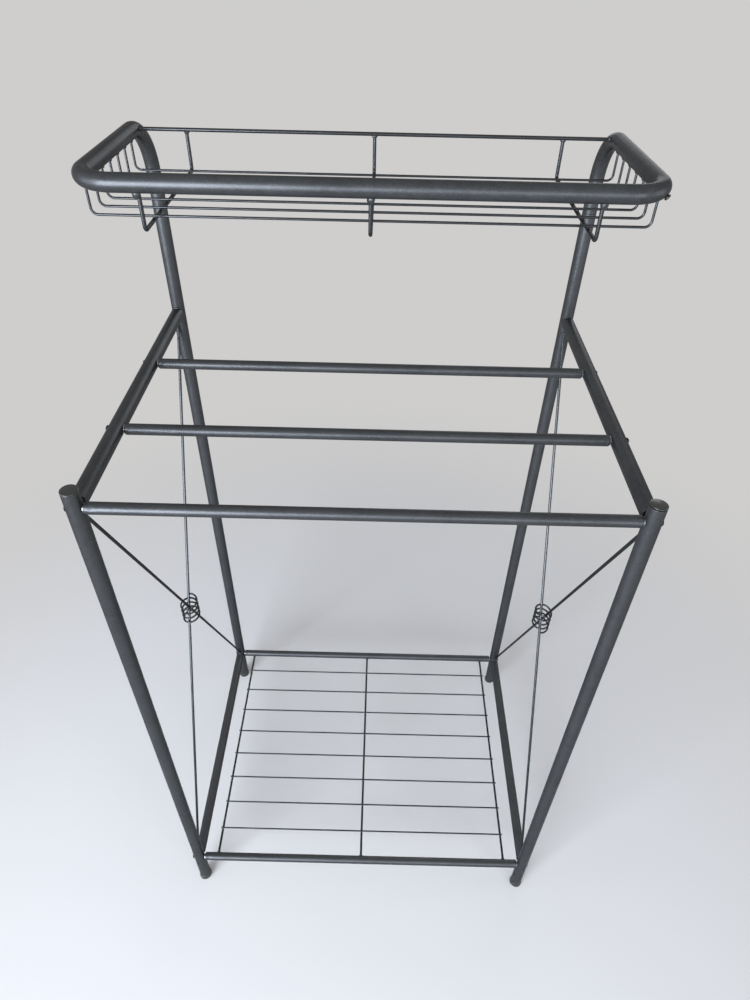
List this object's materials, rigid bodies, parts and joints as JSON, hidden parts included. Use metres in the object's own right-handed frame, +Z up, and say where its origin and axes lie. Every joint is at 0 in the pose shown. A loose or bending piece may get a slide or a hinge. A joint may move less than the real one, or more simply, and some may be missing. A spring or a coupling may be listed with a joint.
{
  "type": "metal shelf rack",
  "caption": "Free-standing bent-tube rack with a wire basket on top, towel bars below it, crossed side braces with wire coils and a low wire shelf.",
  "frame": {"origin": "on the floor, in the middle of the four feet", "axes": "+Z up, +X to the right seen from the front, +Y towards the back"},
  "size_m": [0.5878, 0.451, 1.142],
  "materials": {
    "powder_coat": "satin pewter powder coat",
    "dark_plastic": "satin moulded polyethylene",
    "black_screw": "black oxide",
    "plated_steel": "zinc plated"
  },
  "bodies": {
    "root": {"bar_button_screws": "black_screw", "bar_end_inserts": "plated_steel", "bar_low_screws": "black_screw", "basket_cross_wire_centre": "powder_coat", "basket_cross_wire_left": "powder_coat", "basket_cross_wire_right": "powder_coat", "basket_long_wire_1": "powder_coat", "basket_long_wire_2": "powder_coat", "basket_long_wire_3": "powder_coat", "basket_long_wire_4": "powder_coat", "basket_long_wire_5": "powder_coat", "basket_long_wire_6": "powder_coat", "basket_long_wire_7": "powder_coat", "basket_rear_wire": "powder_coat", "brace_coil_left": "powder_coat", "brace_coil_right": "powder_coat", "brace_rod_falling_left": "powder_coat", "brace_rod_falling_right": "powder_coat", "brace_rod_rising_left": "powder_coat", "brace_rod_rising_right": "powder_coat", "corner_vent_plug": "dark_plastic", "foot_front_left": "dark_plastic", "foot_front_right": "dark_plastic", "foot_rear_left": "dark_plastic", "foot_rear_right": "dark_plastic", "front_bar": "powder_coat", "front_leg_cap_left": "dark_plastic", "front_leg_cap_right": "dark_plastic", "front_leg_left": "powder_coat", "front_leg_right": "powder_coat", "lower_front_rail": "powder_coat", "lower_rear_rail": "powder_coat", "lower_side_rail_left": "powder_coat", "lower_side_rail_right": "powder_coat", "middle_bar": "powder_coat", "rear_bar": "powder_coat", "rear_upright_left": "powder_coat", "rear_upright_right": "powder_coat", "shelf_runner_centre": "powder_coat", "shelf_runner_left": "powder_coat", "shelf_runner_right": "powder_coat", "shelf_wire_1": "powder_coat", "shelf_wire_2": "powder_coat", "shelf_wire_3": "powder_coat", "shelf_wire_4": "powder_coat", "shelf_wire_5": "powder_coat", "shelf_wire_6": "powder_coat", "shelf_wire_7": "powder_coat", "shelf_wire_8": "powder_coat", "side_rail_left": "powder_coat", "side_rail_right": "powder_coat", "top_frame_tube": "powder_coat", "upright_joint_screws": "black_screw", "upright_sleeve_left": "plated_steel", "upright_sleeve_right": "plated_steel"}
  },
  "joints": []
}
